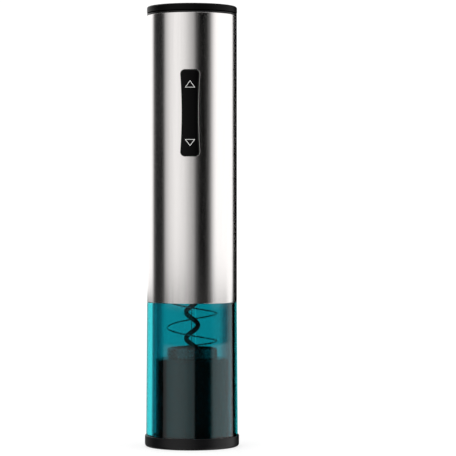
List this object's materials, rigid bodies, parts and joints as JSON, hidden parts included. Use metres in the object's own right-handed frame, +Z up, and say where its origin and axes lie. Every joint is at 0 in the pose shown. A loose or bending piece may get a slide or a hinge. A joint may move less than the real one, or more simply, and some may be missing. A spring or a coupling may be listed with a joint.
{
  "type": "electric wine opener",
  "caption": "Slim cordless wine opener: steel tube with a rocker switch, see-through lower cover, motor-driven worm and a sprung guide that seats on the bottle's neck.",
  "frame": {"origin": "centre of the foot ring's underside", "axes": "+Z up along the worm's axis, the rocker switch faces -Y, +X to its right seen from above the front"},
  "size_m": [0.0504, 0.0504, 0.2353],
  "materials": {
    "black_plastic": "black ABS, soft sheen",
    "clear_teal": "see-through teal polycarbonate",
    "steel_sheet": "satin-polished stainless tube",
    "guide_plastic": "black, low sheen",
    "worm_steel": "dark non-stick coated steel",
    "spring_steel": "drawn spring wire",
    "plain_steel": "machined",
    "zinc_screw": "zinc-plated",
    "chassis_plastic": "dark grey, moulded",
    "rocker_black": "glossy black",
    "button_plastic": "natural",
    "board_green": "glass-fibre board, green mask",
    "chip_black": "moulded",
    "contact_metal": "nickel-tinned brass",
    "cell_label": "plain wrap, no text",
    "motor_steel": "zinc-plated can",
    "magnet": "ferrite",
    "white_plastic": "natural nylon",
    "copper_winding": "copper",
    "gear_metal": "sintered",
    "bronze": "oiled bronze",
    "gear_housing": "glass-filled nylon",
    "red_wire": "flexible insulation",
    "black_wire": "flexible insulation"
  },
  "bodies": {
    "housing": {"base_ring": "black_plastic", "clear_cover": "clear_teal", "steel_tube": "steel_sheet", "guide_spring": "spring_steel", "spring_seat": "plain_steel", "cap_collar": "black_plastic", "collar_screws": "zinc_screw", "battery_cells": "cell_label", "battery_tray": "chassis_plastic", "tray_contact_plates": "contact_metal", "tray_contact_springs": "spring_steel", "chassis_front": "chassis_plastic", "chassis_rear": "chassis_plastic", "chassis_screws": "zinc_screw", "control_board": "board_green", "board_parts": "chip_black", "board_screws": "zinc_screw", "switch_bodies": "chip_black", "motor_can": "motor_steel", "motor_magnets": "magnet", "motor_end_cap": "white_plastic", "motor_terminals": "contact_metal", "motor_plate": "plain_steel", "motor_screws": "zinc_screw", "gearbox_housing": "gear_housing", "plate_screws": "zinc_screw", "output_bush": "bronze", "thrust_washer": "plain_steel", "battery_lead_red": "red_wire", "battery_lead_black": "black_wire", "motor_lead_red": "red_wire", "motor_lead_black": "black_wire"},
    "bottle_guide": {"guide_sleeve": "guide_plastic"},
    "worm_drive": {"output_carrier": "plain_steel", "stage2_pins": "plain_steel", "worm": "worm_steel", "retaining_clip": "spring_steel"},
    "sun_carrier": {"stage1_carrier": "plain_steel", "stage1_pins": "plain_steel"},
    "motor_rotor": {"motor_shaft": "plain_steel", "motor_armature": "copper_winding", "commutator": "copper_winding", "motor_pinion": "gear_metal"},
    "rocker_switch": {"rocker": "rocker_black"},
    "upper_button": {"upper_button": "button_plastic"},
    "lower_button": {"lower_button": "button_plastic"},
    "cap_contacts": {"contact_carrier": "chassis_plastic", "cap_contact_plates": "contact_metal", "cap_contact_springs": "spring_steel"},
    "screw_cap": {"top_cap": "black_plastic"},
    "stage2_planet_a": {"stage2_planet_a": "white_plastic"},
    "stage2_planet_b": {"stage2_planet_b": "white_plastic"},
    "stage2_planet_c": {"stage2_planet_c": "white_plastic"},
    "stage1_planet_a": {"stage1_planet_a": "white_plastic"},
    "stage1_planet_b": {"stage1_planet_b": "white_plastic"},
    "stage1_planet_c": {"stage1_planet_c": "white_plastic"}
  },
  "joints": [
    {"name": "guide_slide", "type": "slide", "parent": "housing", "child": "bottle_guide", "axis": [0, 0, 1], "range_m": [0, 0.0385], "stiffness_N_per_m": 70, "springref_m": -0.015, "deforming": ["guide_spring"]},
    {"name": "worm_spin", "type": "hinge", "parent": "housing", "child": "worm_drive", "pos_m": [0, 0, 0.1], "axis": [0, 0, 1], "continuous": true},
    {"name": "stage2_planet_a_spin", "type": "hinge", "parent": "worm_drive", "child": "stage2_planet_a", "pos_m": [0.00763, 0, 0.1129], "axis": [0, 0, 1], "continuous": true},
    {"name": "stage2_planet_b_spin", "type": "hinge", "parent": "worm_drive", "child": "stage2_planet_b", "pos_m": [-0.00381, 0.00661, 0.1129], "axis": [0, 0, 1], "continuous": true},
    {"name": "stage2_planet_c_spin", "type": "hinge", "parent": "worm_drive", "child": "stage2_planet_c", "pos_m": [-0.00381, -0.00661, 0.1129], "axis": [0, 0, 1], "continuous": true},
    {"name": "sun_carrier_spin", "type": "hinge", "parent": "housing", "child": "sun_carrier", "pos_m": [0, 0, 0.117], "axis": [0, 0, 1], "continuous": true},
    {"name": "stage1_planet_a_spin", "type": "hinge", "parent": "sun_carrier", "child": "stage1_planet_a", "pos_m": [0.00763, 0, 0.1209], "axis": [0, 0, 1], "continuous": true},
    {"name": "stage1_planet_b_spin", "type": "hinge", "parent": "sun_carrier", "child": "stage1_planet_b", "pos_m": [-0.00381, 0.00661, 0.1209], "axis": [0, 0, 1], "continuous": true},
    {"name": "stage1_planet_c_spin", "type": "hinge", "parent": "sun_carrier", "child": "stage1_planet_c", "pos_m": [-0.00381, -0.00661, 0.1209], "axis": [0, 0, 1], "continuous": true},
    {"name": "motor_spin", "type": "hinge", "parent": "housing", "child": "motor_rotor", "pos_m": [0, 0, 0.14], "axis": [0, 0, 1], "continuous": true},
    {"name": "rocker_tilt", "type": "hinge", "parent": "housing", "child": "rocker_switch", "pos_m": [0, -0.0204, 0.1772], "axis": [1, 0, 0], "range_deg": [-3, 3], "stiffness_Nm_per_rad": 0.9},
    {"name": "upper_button_press", "type": "slide", "parent": "housing", "child": "upper_button", "axis": [0, 1, 0], "range_m": [-0.0008, 0.0008]},
    {"name": "lower_button_press", "type": "slide", "parent": "housing", "child": "lower_button", "axis": [0, 1, 0], "range_m": [-0.0008, 0.0008]},
    {"name": "cap_lift", "type": "slide", "parent": "housing", "child": "cap_contacts", "axis": [0, 0, 1], "range_m": [0, 0.00625]},
    {"name": "cap_turn", "type": "hinge", "parent": "cap_contacts", "child": "screw_cap", "pos_m": [0, 0, 0.231], "axis": [0, 0, 1], "range_deg": [0, 150]}
  ],
  "couplings": [
    {"joint": "stage2_planet_a_spin", "follows": "motor_spin", "ratio": -0.054643},
    {"joint": "stage2_planet_b_spin", "follows": "motor_spin", "ratio": -0.054643},
    {"joint": "stage2_planet_c_spin", "follows": "motor_spin", "ratio": -0.054643},
    {"joint": "sun_carrier_spin", "follows": "motor_spin", "ratio": 0.15},
    {"joint": "stage1_planet_a_spin", "follows": "motor_spin", "ratio": -0.36429},
    {"joint": "stage1_planet_b_spin", "follows": "motor_spin", "ratio": -0.36429},
    {"joint": "stage1_planet_c_spin", "follows": "motor_spin", "ratio": -0.36429},
    {"joint": "worm_spin", "follows": "motor_spin", "ratio": 0.0225},
    {"joint": "upper_button_press", "follows": "rocker_tilt", "m_per_rad": -0.015},
    {"joint": "lower_button_press", "follows": "rocker_tilt", "m_per_rad": 0.015},
    {"joint": "cap_lift", "follows": "cap_turn", "m_per_rad": 0.0023873}
  ]
}
